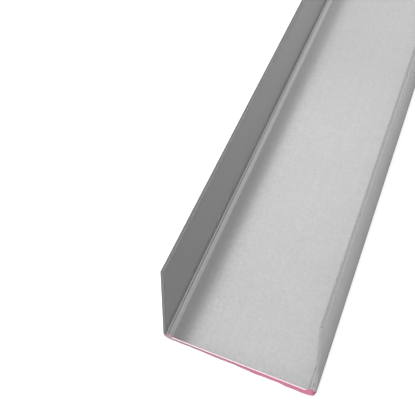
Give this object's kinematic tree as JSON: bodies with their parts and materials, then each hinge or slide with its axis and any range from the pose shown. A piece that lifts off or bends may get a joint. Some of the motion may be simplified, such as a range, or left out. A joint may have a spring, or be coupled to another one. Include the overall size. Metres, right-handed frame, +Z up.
{
  "type": "drywall track",
  "caption": "Galvanised steel drywall track: a long plain U channel with a flat web and two short legs, one leaning in, that hold the ends of studs along a floor or ceiling.",
  "frame": {"origin": "middle of the web's underside, where the track lies on the floor", "axes": "+Y along the track, away from the end with the paint mark; +Z up, the way the legs stand; +X across the web"},
  "size_m": [0.0428, 3.048, 0.0318],
  "materials": {
    "galvanised_steel": "hot-dip galvanised sheet, smooth and satin",
    "marking_paint": "thin pink marking paint, brushed along one cut end of the web, glossy where it is thick"
  },
  "bodies": {
    "root": {"track_channel": "galvanised_steel"}
  },
  "joints": []
}
